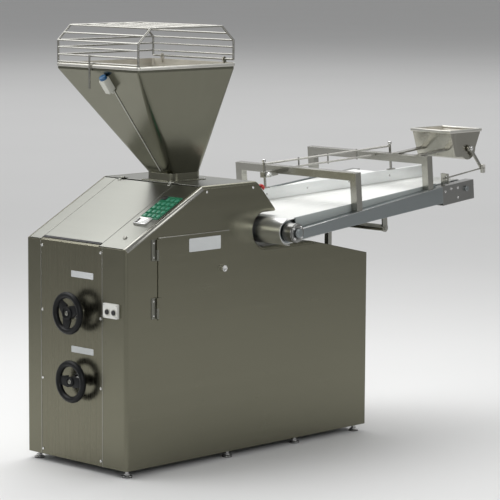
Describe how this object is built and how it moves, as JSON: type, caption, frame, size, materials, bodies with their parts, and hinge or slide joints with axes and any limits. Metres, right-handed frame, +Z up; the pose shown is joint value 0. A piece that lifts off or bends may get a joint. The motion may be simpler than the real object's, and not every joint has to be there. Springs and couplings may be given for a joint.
{
  "type": "dough divider rounder",
  "caption": "Stainless bakery dough divider with a wedge cabinet and hopper, feeding an inclined rounding conveyor with a diagonal guide board and a flour duster.",
  "frame": {"origin": "bottom centre of the whole machine's box, on the floor", "axes": "+X from the front panel with the handwheels towards the conveyor's far end, +Y from the door side to the far side, +Z up"},
  "size_m": [1.846, 0.718, 1.607],
  "materials": {
    "steel_sheet": "fine brushed stainless sheet, satin",
    "steel_bar": "polished stainless bar and wire",
    "machined_steel": "turned and ground steel",
    "rail_alloy": "milled and anodised alloy",
    "belt_fabric": "coated woven belt, matte white",
    "white_plastic": "milled white plastic, matte",
    "brush_fibre": "dense pale bristle",
    "black_plastic": "moulded black plastic, semi-gloss",
    "red_plastic": "moulded red plastic",
    "blue_plastic": "moulded blue plastic",
    "foot_rubber": "black rubber pad on a screw",
    "frame_paint": "grey powder coat",
    "casting": "machined casting",
    "motor_paint": "blue-grey enamel",
    "tank_plastic": "moulded grey tank",
    "bush_bronze": "turned bronze"
  },
  "bodies": {
    "root": {"actuator_cylinders": "machined_steel", "base_frame": "frame_paint", "belt_bed": "rail_alloy", "button_housings": "white_plastic", "control_strip": "steel_sheet", "conveyor_belt": "belt_fabric", "conveyor_support": "steel_bar", "cover_hinges": "steel_bar", "dough_chamber": "casting", "drum_bearings": "machined_steel", "drum_gearmotor": "motor_paint", "far_rail": "rail_alloy", "far_side_panel": "steel_sheet", "flour_box": "steel_sheet", "front_panel": "steel_sheet", "guide_clamps": "steel_bar", "head_bridge": "steel_bar", "hopper": "steel_sheet", "hopper_neck": "steel_sheet", "levelling_feet": "foot_rubber", "near_rail": "rail_alloy", "near_side_panel": "steel_sheet", "nose_guard": "steel_sheet", "oil_tank": "tank_plastic", "panel_screws": "steel_bar", "pump_motor": "motor_paint", "rear_deck": "steel_sheet", "rear_hood": "steel_sheet", "rear_panel": "steel_sheet", "roller_bearings": "rail_alloy", "safety_switch": "blue_plastic", "spindle_bearings": "bush_bronze", "tail_bridge": "steel_bar", "top_cover": "steel_sheet", "valve_block": "casting"},
    "lid": {"slope_lid": "steel_sheet"},
    "door": {"side_door": "steel_sheet"},
    "door_knob": {"door_knob": "black_plastic"},
    "guard": {"hopper_guard": "steel_bar"},
    "upper_wheel": {"upper_handwheel": "black_plastic", "weight_spindle": "machined_steel"},
    "weight_stop": {"weight_stop_arm": "machined_steel"},
    "lower_wheel": {"lower_handwheel": "black_plastic", "valve_spindle": "machined_steel"},
    "start_button": {"start_button": "black_plastic"},
    "stop_button": {"stop_button": "black_plastic"},
    "emergency_stop": {"emergency_stop": "red_plastic"},
    "tail_roller": {"tail_roller": "rail_alloy"},
    "head_roller": {"head_roller": "rail_alloy"},
    "guide": {"guide_ladder": "steel_bar", "guide_board": "white_plastic"},
    "tail_clamp": {"tail_clamp_knob": "black_plastic"},
    "head_clamp": {"head_clamp_knob": "black_plastic"},
    "duster_drive": {"brush_roller": "brush_fibre", "duster_lever": "steel_bar"},
    "duster_link": {"duster_link": "steel_bar"},
    "ram": {"ram": "machined_steel"},
    "knife": {"knife": "machined_steel"},
    "drum": {"dividing_drum": "machined_steel"},
    "piston": {"measuring_piston": "machined_steel"}
  },
  "joints": [
    {"name": "lid_hinge", "type": "hinge", "parent": "root", "child": "lid", "pos_m": [-0.48228, 0.089, 1.03019], "axis": [0, 1, 0], "range_deg": [0, 55]},
    {"name": "door_hinge", "type": "hinge", "parent": "root", "child": "door", "pos_m": [-0.712, -0.187, 0.7105], "axis": [0, 0, -1], "range_deg": [0, 110]},
    {"name": "door_knob_turn", "type": "hinge", "parent": "door", "child": "door_knob", "pos_m": [-0.381, -0.191, 0.72], "axis": [0, 1, 0], "range_deg": [0, 90]},
    {"name": "guard_hinge", "type": "hinge", "parent": "root", "child": "guard", "pos_m": [-0.272, 0.089, 1.48], "axis": [0, 1, 0], "range_deg": [0, 100]},
    {"name": "weight_wheel_turn", "type": "hinge", "parent": "root", "child": "upper_wheel", "pos_m": [-0.911, 0.073, 0.58], "axis": [1, 0, 0], "range_deg": [0, 1800]},
    {"name": "weight_stop_slide", "type": "slide", "parent": "root", "child": "weight_stop", "axis": [-1, 0, 0], "range_m": [0, 0.04]},
    {"name": "valve_wheel_turn", "type": "hinge", "parent": "root", "child": "lower_wheel", "pos_m": [-0.898, 0.073, 0.328], "axis": [1, 0, 0], "range_deg": [0, 1080]},
    {"name": "start_button_press", "type": "slide", "parent": "root", "child": "start_button", "axis": [1, 0, 0], "range_m": [0, 0.004], "stiffness_N_per_m": 400},
    {"name": "stop_button_press", "type": "slide", "parent": "root", "child": "stop_button", "axis": [1, 0, 0], "range_m": [0, 0.004], "stiffness_N_per_m": 400},
    {"name": "emergency_stop_press", "type": "slide", "parent": "root", "child": "emergency_stop", "axis": [-0.7446, 0, -0.6675], "range_m": [0, 0.004], "stiffness_N_per_m": 400},
    {"name": "tail_roller_turn", "type": "hinge", "parent": "root", "child": "tail_roller", "pos_m": [-0.149, -0.018, 0.844], "axis": [0, 1, 0], "continuous": true},
    {"name": "head_roller_turn", "type": "hinge", "parent": "root", "child": "head_roller", "pos_m": [0.82107, -0.018, 0.94262], "axis": [0, 1, 0], "continuous": true},
    {"name": "guide_lift", "type": "slide", "parent": "root", "child": "guide", "axis": [-0.0889, 0, 0.996], "range_m": [0, 0.015]},
    {"name": "tail_clamp_turn", "type": "hinge", "parent": "root", "child": "tail_clamp", "pos_m": [0.11094, 0.061, 1.01378], "axis": [0, 1, 0], "range_deg": [0, 360]},
    {"name": "head_clamp_turn", "type": "hinge", "parent": "root", "child": "head_clamp", "pos_m": [0.66075, -0.103, 1.06285], "axis": [0, 1, 0], "range_deg": [0, 360]},
    {"name": "brush_turn", "type": "hinge", "parent": "root", "child": "duster_drive", "pos_m": [0.844, -0.233, 1.1], "axis": [0, 1, 0], "range_deg": [-10, 10]},
    {"name": "link_pivot", "type": "hinge", "parent": "duster_drive", "child": "duster_link", "pos_m": [0.914, -0.349, 1.018], "axis": [0, 1, 0], "range_deg": [-7.5, 7.5]},
    {"name": "ram_stroke", "type": "slide", "parent": "root", "child": "ram", "axis": [1, 0, 0], "range_m": [0, 0.125]},
    {"name": "knife_stroke", "type": "slide", "parent": "root", "child": "knife", "axis": [0, -1, 0], "range_m": [0, 0.145]},
    {"name": "drum_turn", "type": "hinge", "parent": "root", "child": "drum", "pos_m": [-0.221, 0.079, 0.953], "axis": [0, -1, 0], "range_deg": [0, 90]},
    {"name": "piston_stroke", "type": "slide", "parent": "drum", "child": "piston", "axis": [-1, 0, 0], "range_m": [0, 0.013]}
  ],
  "couplings": [
    {"joint": "weight_stop_slide", "follows": "weight_wheel_turn", "m_per_rad": 0.0012732},
    {"joint": "head_roller_turn", "follows": "tail_roller_turn", "ratio": 1.381},
    {"joint": "link_pivot", "follows": "brush_turn", "ratio": -0.728}
  ]
}
